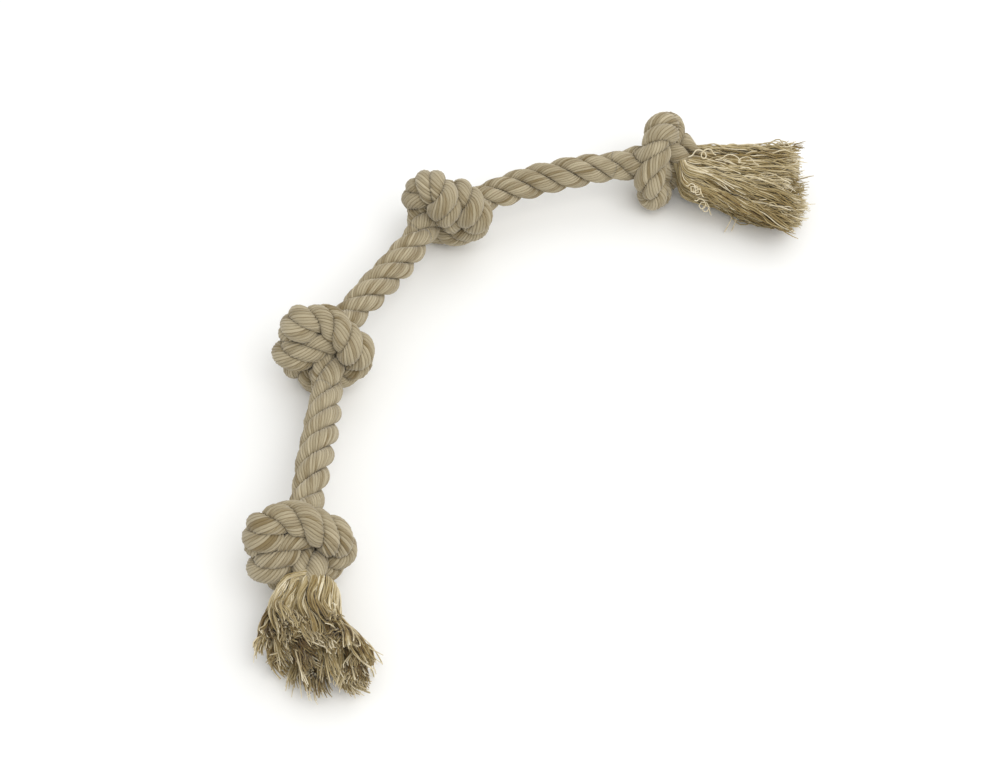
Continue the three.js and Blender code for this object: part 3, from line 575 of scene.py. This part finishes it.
def laid_cotton(name, dark, mid, light):
    """Undyed cotton yarn, combed and plied, then laid. The eye sees a streak of its own for each
    yarn, finer streaks of fibre along it, and painted shade in the grooves and creases."""
    material = bpy.data.materials.new(name)
    material.use_nodes = True
    tree = material.node_tree
    tree.nodes.clear()
    uv = add_node(tree, "ShaderNodeUVMap", {"uv_map": "UVMap"})
    split = add_node(tree, "ShaderNodeSeparateXYZ", i0=uv.outputs[0])
    maths, times, less = "ShaderNodeMath", {"operation": "MULTIPLY"}, {"operation": "SUBTRACT"}
    yarn = add_node(tree, maths, {"operation": "FLOOR"}, i0=split.outputs[0])
    # one tint for each yarn, which drifts over some 30 mm of its length
    drift = add_node(tree, maths, times, i0=split.outputs[1], i1=0.03)
    own = add_node(tree, maths, times, i0=yarn.outputs[0], i1=7.3)
    place = add_node(tree, "ShaderNodeCombineXYZ", i0=own.outputs[0], i1=drift.outputs[0])
    tint = add_node(tree, "ShaderNodeTexNoise", {"noise_dimensions": "2D"}, Vector=place.outputs[0],
                    Scale=1.0, Detail=2.0)
    # fibres: streaks some 0.35 mm wide and 6 mm long, aslant because the yarn is twisted
    slant = add_node(tree, maths, times, i0=split.outputs[1], i1=0.35)
    across = add_node(tree, maths, {"operation": "ADD"}, i0=split.outputs[0], i1=slant.outputs[0])
    wide = add_node(tree, maths, times, i0=across.outputs[0], i1=6.0)
    long = add_node(tree, maths, times, i0=split.outputs[1], i1=0.18)
    fibre_place = add_node(tree, "ShaderNodeCombineXYZ", i0=wide.outputs[0], i1=long.outputs[0])
    fibre = add_node(tree, "ShaderNodeTexNoise", {"noise_dimensions": "2D"},
                     Vector=fibre_place.outputs[0], Scale=1.0, Detail=3.0, Roughness=0.6)
    mix = add_node(tree, maths, {"operation": "MULTIPLY_ADD"},
                   i0=fibre.outputs[0], i1=0.5, i2=tint.outputs[0])
    lower = add_node(tree, maths, less, i0=mix.outputs[0], i1=0.25)
    ramp = add_node(tree, "ShaderNodeValToRGB", i0=lower.outputs[0])
    stops = ramp.color_ramp.elements
    stops[0].position, stops[0].color = 0.27, srgb(dark)
    stops[1].position, stops[1].color = 0.72, srgb(light)
    middle = stops.new(0.46)
    middle.color = srgb(mid)
    # painted shade in the groove between two yarns, and in the crease between two strands
    within = add_node(tree, maths, {"operation": "FRACT"}, i0=split.outputs[0])
    centred = add_node(tree, maths, less, i0=within.outputs[0], i1=0.5)
    edge = add_node(tree, maths, {"operation": "ABSOLUTE"}, i0=centred.outputs[0])
    groove_shade = add_node(tree, "ShaderNodeMapRange", {"interpolation_type": "SMOOTHSTEP"},
                      i0=edge.outputs[0], i1=0.34, i2=0.5, i3=1.0, i4=0.38)
    pressed = add_node(tree, "ShaderNodeAttribute", {"attribute_name": "pressed"})
    crease_shade = add_node(tree, "ShaderNodeMapRange", {"interpolation_type": "SMOOTHSTEP"},
                      i0=pressed.outputs[2], i1=0.6, i2=0.97, i3=0.55, i4=1.0)
    shade = add_node(tree, maths, times, i0=groove_shade.outputs[0], i1=crease_shade.outputs[0])
    # the painted shade mixes the yarn's tint with a dark golden brown
    colour = add_node(tree, "ShaderNodeMix", {"data_type": "RGBA"}, i0=shade.outputs[0],
                      i6=srgb("#5f4a1e"), i7=ramp.outputs[0])
    bump = add_node(tree, "ShaderNodeBump", Strength=0.5, Distance=0.0003,
                    Height=fibre.outputs[0])
    shader = add_node(tree, "ShaderNodeBsdfPrincipled", **{
        "Base Color": colour.outputs[2], "Roughness": 0.92, "Normal": bump.outputs[0],
        "Sheen Weight": 0.25, "Sheen Roughness": 0.5, "Specular IOR Level": 0.25})
    add_node(tree, "ShaderNodeOutputMaterial", Surface=shader.outputs[0])
    return material


# rope_1 to rope_4. One cotton rope, shown in four pieces, each of them a knot and the stretch
# after it, because the strands run on through both. The cord is the rope that the piece takes;
# nothing fixes the pieces but the strands, which go on into the next piece.
rope_cotton = laid_cotton("laid_cotton_yarn", "#7f6f4e", "#9f9378", "#b6aa8e")
letters = "abc"
for k in range(len(knots)):
    group = [n for n in (2 * k, 2 * k + 1) if n < len(sections)]
    tubes = []
    for strand in range(strand_count):
        first, last = cuts[strand][group[0]], cuts[strand][group[-1] + 1]
        keep = slice(first, last + 1)
        lengths = np.arange(first, last + 1) * ring_step
        tubes.append((strand_rings[strand][keep], lengths, strand_reach[strand][keep],
                      yarns_per_strand))
    piece = tube_mesh(f"rope_{k + 1}", tubes)
    piece.data.materials.append(rope_cotton)
    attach(piece, "root")
    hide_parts(*[f"{sections[n][0]}_strand_{letter}" for n in group for letter in letters])


# tassel_front and tassel_side. Past the outer knots the strands are unlaid and their yarns combed
# open, 16 to a strand, each of some 35 fine cotton threads. The yarns keep together as wavy locks
# and part towards their cut ends. Nothing but the last knot holds them.
def thread_nodes():
    """Geometry Nodes: each line of points becomes a closed thread as thick as its points say."""
    tree = bpy.data.node_groups.new("spun_threads", "GeometryNodeTree")
    tree.interface.new_socket("Geometry", in_out="INPUT", socket_type="NodeSocketGeometry")
    sides = tree.interface.new_socket("Sides", in_out="INPUT", socket_type="NodeSocketInt")
    cloth = tree.interface.new_socket("Material", in_out="INPUT", socket_type="NodeSocketMaterial")
    tree.interface.new_socket("Geometry", in_out="OUTPUT", socket_type="NodeSocketGeometry")
    given = add_node(tree, "NodeGroupInput")
    line = add_node(tree, "GeometryNodeMeshToCurve", Mesh=given.outputs[0])
    outline = add_node(tree, "GeometryNodeCurvePrimitiveCircle",
                       Resolution=given.outputs[1], Radius=1.0)
    thickness = add_node(tree, "GeometryNodeInputNamedAttribute", {"data_type": "FLOAT"},
                         Name="thickness")
    tube = add_node(tree, "GeometryNodeCurveToMesh", **{
        "Curve": line.outputs[0], "Profile Curve": outline.outputs[0],
        "Scale": thickness.outputs[0], "Fill Caps": True})
    smooth = add_node(tree, "GeometryNodeSetShadeSmooth", Geometry=tube.outputs[0])
    real = add_node(tree, "GeometryNodeRealizeInstances", Geometry=smooth.outputs[0])
    dressed = add_node(tree, "GeometryNodeSetMaterial",
                       Geometry=real.outputs[0], Material=given.outputs[2])
    add_node(tree, "NodeGroupOutput", Geometry=dressed.outputs[0])
    return tree, sides.identifier, cloth.identifier


def spun(name, lines, thickness, tint, material, sides=5):
    """One mesh of closed threads from lines of points in millimetres, each point with the
    thread's radius and tint there."""
    count, length = lines.shape[:2]
    mesh = bpy.data.meshes.new(name)
    mesh.vertices.add(count * length)
    mesh.vertices.foreach_set("co", (lines * metres_per_mm).astype(np.float32).ravel())
    first = (np.arange(count)[:, None] * length + np.arange(length - 1)[None]).ravel()
    ends = np.stack([first, first + 1], 1)
    mesh.edges.add(len(first))
    mesh.edges.foreach_set("vertices", ends.astype(np.int32).ravel())
    for key, values in (("thickness", thickness * metres_per_mm), ("tint", tint)):
        layer = mesh.attributes.new(key, "FLOAT", "POINT")
        layer.data.foreach_set("value", values.astype(np.float32).ravel())
    piece = bpy.data.objects.new(name, mesh)
    bpy.context.scene.collection.objects.link(piece)
    tree, sides_input, material_input = thread_tree
    modifier = piece.modifiers.new("threads", "NODES")
    modifier.node_group = tree
    modifier[sides_input] = sides
    modifier[material_input] = material
    graph = bpy.context.evaluated_depsgraph_get()
    done = bpy.data.meshes.new_from_object(piece.evaluated_get(graph))
    piece.modifiers.clear()
    piece.data = done
    done.name = name
    return piece


def combed_cotton():
    """Loose cotton threads, combed and brushed. The eye sees a tint of its own for each thread,
    from cream to straw, with painted shade where it lies deep in the tassel."""
    material = bpy.data.materials.new("combed_cotton_thread")
    material.use_nodes = True
    tree = material.node_tree
    tree.nodes.clear()
    tint = add_node(tree, "ShaderNodeAttribute", {"attribute_name": "tint"})
    place = add_node(tree, "ShaderNodeTexCoord")
    # patches of a few millimetres where the fibres are more or less bleached
    patch = add_node(tree, "ShaderNodeTexNoise", Vector=place.outputs[3], Scale=260.0, Detail=2.0)
    spread = add_node(tree, "ShaderNodeMath", {"operation": "MULTIPLY_ADD"},
                      i0=patch.outputs[0], i1=0.3, i2=tint.outputs[2])
    level = add_node(tree, "ShaderNodeMath", {"operation": "SUBTRACT"},
                     i0=spread.outputs[0], i1=0.15)
    ramp = add_node(tree, "ShaderNodeValToRGB", i0=level.outputs[0])
    stops = ramp.color_ramp.elements
    stops[0].position, stops[0].color = 0.0, srgb("#5c451b")
    stops[1].position, stops[1].color = 1.0, srgb("#e6dcc2")
    for where, colour in ((0.3, "#8b7647"), (0.55, "#ab9a6f"), (0.8, "#cbbd9a")):
        stops.new(where).color = srgb(colour)
    shader = add_node(tree, "ShaderNodeBsdfPrincipled", **{
        "Base Color": ramp.outputs[0], "Roughness": 0.85, "Sheen Weight": 0.3,
        "Sheen Roughness": 0.5, "Specular IOR Level": 0.3})
    add_node(tree, "ShaderNodeOutputMaterial", Surface=shader.outputs[0])
    return material


thread_tree = thread_nodes()
thread_cotton = combed_cotton()
# A few threads have worked loose. Each runs from one place to another, bowed, and makes so many
# loops of such a size on the way
loose_table = [
    ("tassel_front", (-112, -170, 15), (-95, -186, 2), 0, 0),
    ("tassel_front", (-110, -176, 10), (-100, -193, 1), 0, 0),
    ("tassel_side", (120, 143, 8), (114, 134, 1), 0, 0),
    ("tassel_side", (123, 143, 8), (119, 135, 1), 0, 0),
    ("tassel_side", (86, 148, 33), (100, 140, 28), 3, 2.5),
    ("tassel_side", (92, 142, 26), (106, 136, 15), 2, 2.8),
    ("tassel_side", (88, 168, 38), (110, 168, 40), 1, 3.2),
    ("tassel_side", (92, 160, 36), (126, 152, 38), 0, 0),
    ("tassel_side", (100, 152, 30), (122, 146, 26), 2, 2.6),
    ("tassel_side", (104, 164, 40), (138, 158, 40), 1, 2.6),
    ("tassel_side", (110, 150, 28), (134, 142, 22), 1, 2.4),
]
loose_tint = 0.88
bow_shares = np.array([0.2, 0.2, 0.3])
bow_size = 0.18
loop_right = np.array([1.0, 0, 0])
loop_up = np.array([0, 0.788, 0.616])

# Each tassel in millimetres and degrees, measured outwards from the end of the rope:
# neck, reach: how deep in the knot its yarns begin, and how far out the longest of them go
# spread: at how far out, how far the tassel reaches to each side, and up and down
# middle: at how far out, where its middle lies
# turn, blend: how its bundle of strands is turned, and where a yarn leaves its strand's line
# slope, skew, ragged: how much shorter its top is cut, how uneven the top and how ragged the cut
# lean, sag, rise, tuft: how far its top leans, its sides sink and its ends rise and stray
# wave, periods, stray: how far its locks swing sideways and up, how often, how much each by itself
# open, frizz, kick, hook: a yarn's half-width at the rope and at the cut, how far a thread bends
# and its end strays, and how far the ends curl, by the yarn and by the thread
# radius, shade: a thread's, and how much painted shade darkens it towards the cut
tassel_table = [
    {"name": "tassel_front", "sign": -1, "seed": 11, "heading": -92, "neck": 20, "reach": 51.5,
     "threads": 36, "points": 34, "wave": (3.6, 1.4), "periods": 1.2, "stray": 0.3,
     "open": (1.7, 4.0), "slope": 0.4, "skew": 0.3, "frizz": 0.3, "turn": 25, "ragged": 1.1,
     "lean": 0.4, "rise": 6, "tuft": 1.3, "kick": 0.5, "hook": (1.5, 0.5), "blend": (-14, 0),
     "radius": 0.42, "shade": 0.22, "sag": 9,
     "spread": [(-20, 8, 8), (-10, 14, 11), (0, 18, 14), (12, 22, 16), (30, 28, 18), (60, 38, 18)],
     "middle": [(-10, -137, -140, 25), (6, -137, -154, 21), (30, -133.5, -180, 19),
                (52, -133, -202, 19)]},
    {"name": "tassel_side", "sign": 1, "seed": 12, "heading": -8, "neck": 26, "reach": 71,
     "threads": 34, "points": 34, "wave": (1.6, 1.0), "periods": 1.1, "stray": 0.7,
     "open": (1.8, 5.4), "slope": 0.1, "skew": 0.0, "frizz": 0.85, "turn": 25, "ragged": 4.0,
     "lean": 0.0, "rise": 0.5, "tuft": 1.5, "kick": 1.0, "hook": (0.6, 0.3), "blend": (-20, -4),
     "radius": 0.4, "shade": 0.08, "sag": 6,
     "spread": [(-26, 8, 8), (-12, 15, 12), (-3, 21, 15), (8, 26, 17), (35, 34, 19), (75, 42, 20)],
     "middle": [(-12, 84, 172, 24), (-2, 91, 168, 23), (30, 122, 162, 21), (74, 166, 154, 20)]},
]

# A strand has eleven yarns round it and five inside, at these shares of its radius. Where the
# strand is still whole they are packed closer. The three strands together fill the bundle.
outer_yarns = 11
inner_yarns = yarns_per_strand - outer_yarns
ring_angle = np.concatenate([2 * np.pi * np.arange(outer_yarns) / outer_yarns,
                             2 * np.pi * np.arange(inner_yarns) / inner_yarns + 0.3])
ring_share = np.where(np.arange(yarns_per_strand) < outer_yarns, 0.74, 0.34)
packed_share = 0.6
bundle_radius = 0.41 * rope_diameter
# How far a yarn's place in the tassel is left to chance, the least height of a yarn's middle and
# the least gap below a thread
place_chance = 0.05
lowest_yarn = 1.2
thread_gap = 0.1
# How often a thread winds round its yarn. Some threads are creamy and curl more
yarn_turns = 1.1
cream_share, cream_tint, cream_curl = 0.1, 0.92, 1.9
# Where along a yarn its end starts to curl, and how far round it goes, in radians
curl_from, curl_angle = 0.86, 2.6
# The threads' middle tint, how it varies by yarn and by thread, how much painted shade darkens
# the deeper threads, and how much lighter the cut is
tint_middle, tint_spread, depth_shade, cut_tint = 0.42, 0.13, 0.34, 0.26


def eased(places, columns, at):
    """Columns of values that are given at some places, read off evenly and smoothed."""
    window = 33
    rough = np.stack([np.interp(at, places, column) for column in columns.T], 1)
    weights = np.hanning(window) / np.hanning(window).sum()
    padded = np.pad(rough, ((window // 2, window // 2), (0, 0)), mode="edge")
    return np.stack([np.convolve(column, weights, mode="valid") for column in padded.T], 1)


def loose_threads(tassel_name, points):
    """The loose threads of one tassel, as lines of points."""
    step = np.linspace(0, 1, points)[:, None]
    found = []
    for name, first, last, loops, size in loose_table:
        if name == tassel_name:
            first, last = np.array(first, float), np.array(last, float)
            bow = bow_shares * np.linalg.norm(last - first) * bow_size
            path = first + (last - first) * smooth_step(step, -0.3, 1.3)
            path = path + bow * np.sin(np.pi * step)
            swing = 2 * np.pi * loops * smooth_step(step, 0.25, 0.75)
            size = size * smooth_step(step, 0.1, 0.3) * (1 - smooth_step(step, 0.7, 0.9))
            found.append(path + size * (np.sin(swing) * loop_right + np.cos(swing) * loop_up))
    return np.array(found)


for tassel in tassel_table:
    rng = np.random.default_rng(tassel["seed"])
    heading = math.radians(tassel["heading"])
    out = np.array([math.cos(heading), math.sin(heading), 0])
    up = np.array([0, 0, 1.0])
    across = np.cross(up, out)
    runs = [line if tassel["sign"] < 0 else line[::-1] for line in strand_lines]
    neck = tassel["neck"]
    neck_ring = int(round(neck / ring_step))
    mouth = np.mean([run[0] for run in runs], 0)
    inside = np.mean([run[neck_ring] for run in runs], 0)
    spreads = np.array(tassel["spread"], float)
    middles = np.array([(-neck, *inside), *tassel["middle"]], float)
    # the tassel's form is read off about every quarter of a millimetre
    fine = np.linspace(-neck, 90, 441)
    spread_at = eased(spreads[:, 0], spreads[:, 1:], fine)
    middle_at = eased(middles[:, 0], middles[:, 1:], fine)
    yarns, threads, points = yarns_per_strand, tassel["threads"], tassel["points"]
    t = np.linspace(0, 1, points)[None, :, None]
    for strand, run in enumerate(runs):
        ahead = unit(run[max(neck_ring - 3, 0)] - run[neck_ring + 3])
        side = unit(np.cross(ahead, up))
        lift = np.cross(side, ahead)
        offset = side[None] * np.cos(ring_angle)[:, None] + lift[None] * np.sin(ring_angle)[:, None]
        offset = offset * (ring_share * strand_radius)[:, None]
        # a yarn's place in the rope tells its place in the tassel: u across it and v up
        at_mouth = run[0] - mouth + offset
        flat, tall = at_mouth @ across, at_mouth @ up
        turn = math.radians(tassel["turn"])
        u = (flat * math.cos(turn) - tall * math.sin(turn)) / bundle_radius
        v = (flat * math.sin(turn) + tall * math.cos(turn)) / bundle_radius
        r = np.hypot(u, v)
        grow = np.clip(r, 0, 1.0) ** 0.8 / np.maximum(r, 0.01)
        u = u * grow + rng.normal(size=yarns) * place_chance
        v = v * grow + rng.normal(size=yarns) * place_chance
        high = (v + 1) / 2
        reach = tassel["reach"] * (1 - tassel["slope"] * high + tassel["skew"] * u * high)
        reach = reach + rng.normal(size=yarns) * tassel["ragged"]
        past = -neck + (reach[:, None] + neck) * t[..., 0]
        centre = np.stack([np.interp(past, fine, column) for column in middle_at.T], -1)
        wide, tall = (np.interp(past, fine, column) for column in spread_at.T)
        leaning = tassel["lean"] * np.maximum(v, 0)[:, None] * smooth_step(past, 8, 50)
        spot = centre + across * ((u[:, None] + leaning) * wide)[..., None]
        spot = spot + up * (v[:, None] * tall)[..., None]
        # the yarns at the sides sink to the ground
        sinking = tassel["sag"] * np.minimum(u ** 2, 1.2)[:, None] * smooth_step(past, 5, 45)
        spot = spot - up * sinking[..., None]
        # each yarn leaves its strand's line smoothly
        in_knot = run[:2 * neck_ring]
        back = np.append(0, np.cumsum(np.linalg.norm(np.diff(in_knot, axis=0), axis=1)))
        rope_part = np.stack([np.interp(-past, back, column) for column in in_knot.T], -1)
        rope_part = rope_part + (offset * packed_share)[:, None]
        rope_part = rope_part + unit(run[0] - run[3]) * np.maximum(past, 0)[..., None]
        middle = rope_part + (spot - rope_part) * smooth_step(past, *tassel["blend"])[..., None]
        # locks: waves that neighbouring yarns share for the greater part
        phase = (1.1 * u + 0.7 * v + rng.normal(size=yarns) * tassel["stray"])[:, None]
        turns = 2 * np.pi * tassel["periods"] * t[..., 0]
        ease = smooth_step(past, -2, 20)
        swing = np.sin(turns + phase) * tassel["wave"][0] * ease
        middle = middle + across * swing[..., None]
        swing = np.sin(0.9 * turns + 1.7 * phase + 1) * tassel["wave"][1] * ease
        middle = middle + up * swing[..., None]
        tuft = rng.normal(size=(yarns, 1, 3)) * tassel["tuft"] + up * tassel["rise"]
        middle = middle + tuft * smooth_step(t, 0.68, 1.05)
        middle[..., 2] = np.maximum(middle[..., 2], lowest_yarn)
        # threads: each keeps its place in the yarn, which opens, and has small bends of its own
        where = np.sqrt(rng.random((yarns, threads))) * 0.98
        angle = 2 * np.pi * rng.random((yarns, threads))
        along = unit(np.gradient(middle, axis=1))
        one = unit(np.cross(along, up + 0.01 * out))
        two = np.cross(one, along)
        small, large = tassel["open"]
        opened = small + (large - small) * t[..., 0] ** 2.2
        spin = angle[..., None] + 2 * yarn_turns * (1 - t[..., 0])[:, None] * math.pi
        bend = rng.random((yarns, threads, 4)) * 2 * np.pi
        waves = 3.0 + 2.0 * rng.random((yarns, threads, 2))
        frizz = tassel["frizz"] * smooth_step(t[..., 0], 0.05, 0.6)[:, None]
        frizz = frizz * (0.4 + 2.4 * rng.random((yarns, threads, 1)) ** 3)
        a = where[..., None] * np.cos(spin) * opened[:, None]
        b = where[..., None] * np.sin(spin) * opened[:, None]
        a = a + frizz * np.sin(2 * np.pi * waves[..., :1] * t[None, ..., 0] + bend[..., :1])
        b = b + frizz * np.sin(2 * np.pi * waves[..., 1:] * t[None, ..., 0] + bend[..., 1:2])
        lines = middle[:, None] + one[:, None] * a[..., None] + two[:, None] * b[..., None]
        stretch = 1 + 0.05 * rng.normal(size=(yarns, threads, 1, 1))
        lines = lines + (lines[:, :, -1:] - lines[:, :, -4:-3]) * (stretch - 1) * 4 * t[None] ** 6
        kick = rng.normal(size=(yarns, threads, 1, 3)) * tassel["kick"]
        lines = lines + kick * smooth_step(t[None], 0.86, 1.06)
        # the cut ends curl, those of a lock together and the creamy ones more
        hook = rng.normal(size=(2, yarns, 1, 1, 3)) * tassel["hook"][0]
        hook = hook + rng.normal(size=(2, yarns, threads, 1, 3)) * tassel["hook"][1]
        cream = rng.random((yarns, threads)) < cream_share
        hook = hook * np.where(cream, cream_curl, 1.0)[..., None, None]
        curl = curl_angle * np.clip((t[None] - curl_from) / (1 - curl_from), 0, 1)
        lines = lines + hook[0] * (1 - np.cos(curl)) + hook[1] * np.sin(curl) * 0.6
        lines = lines.reshape(yarns * threads, points, 3)
        if strand == 0:
            lines = np.concatenate([lines, loose_threads(tassel["name"], points)])
        lines[..., 2] = np.maximum(lines[..., 2], tassel["radius"] + thread_gap)
        # threads differ in thickness and taper to their cut
        thickness = np.full((len(lines), points), tassel["radius"])
        thickness *= (0.85 + 0.3 * rng.random(len(lines)))[:, None]
        thickness[:, -3:] *= np.array([0.95, 0.8, 0.5])
        # painted shade: the deeper a thread lies in its tassel and its yarn, the darker it is
        depth = np.hypot(u, v).clip(0, 1)[:, None] * 0.5 + where * 0.5
        tint = tint_middle + tint_spread * rng.normal(size=(yarns, 1))
        tint = tint + tint_spread * rng.normal(size=(yarns, threads))
        tint = tint + depth_shade * (depth - 0.5)
        tint = np.where(cream, cream_tint, tint).reshape(-1, 1)
        tint = np.concatenate([tint, np.full((len(lines) - len(tint), 1), loose_tint)])
        # painted shade darkens the threads from half-way out towards the cut
        step = t[0, :, 0]
        ends = cut_tint * smooth_step(step, 0.92, 1)
        ends = ends - tassel["shade"] * smooth_step(step, 0.5, 0.85)
        tint = np.clip(tint + ends[None], 0.02, 0.98)
        piece = spun(f"{tassel['name']}_{letters[strand]}", lines, thickness, tint, thread_cotton)
        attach(piece, "root")
        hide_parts(f"{tassel['name']}_strand_{letters[strand]}")


# The floor and the light. The photograph is cut out on white, so the toy lies on matt white
# paper, with a large lamp to the right in front, a weaker one behind, and even white light from
# all round that leaves only soft shadows.
floor_mesh = bpy.data.meshes.new("floor")
half = 3.0  # metres
corners = [(-half, -half, 0), (half, -half, 0), (half, half, 0), (-half, half, 0)]
floor_mesh.from_pydata(corners, [], [(0, 1, 2, 3)])
floor = bpy.data.objects.new("floor", floor_mesh)
bpy.context.scene.collection.objects.link(floor)
paper = bpy.data.materials.new("white_paper")
paper.use_nodes = True
paper.node_tree.nodes["Principled BSDF"].inputs["Base Color"].default_value = srgb("#f4f4f2")
paper.node_tree.nodes["Principled BSDF"].inputs["Roughness"].default_value = 0.9
floor_mesh.materials.append(paper)

world = bpy.data.worlds.new("world")
bpy.context.scene.world = world
world.use_nodes = True
world.node_tree.nodes["Background"].inputs["Color"].default_value = srgb("#ffffff")
world.node_tree.nodes["Background"].inputs["Strength"].default_value = 0.85
# name, place and size in metres, and power in watts
lamp_table = [("key", (0.6, -0.7, 1.6), 1.4, 15), ("fill", (0.6, 1.0, 1.3), 1.6, 5)]
for name, place, size, power in lamp_table:
    data = bpy.data.lights.new(name, "AREA")
    data.size = size
    data.energy = power
    lamp = bpy.data.objects.new(name, data)
    lamp.location = place
    direction = -np.array(place)
    lamp.rotation_euler = (math.atan2(math.hypot(direction[0], direction[1]), -direction[2]), 0,
                           math.atan2(direction[1], direction[0]) - math.pi / 2)
    bpy.context.scene.collection.objects.link(lamp)
bpy.context.scene.view_settings.view_transform = "Standard"
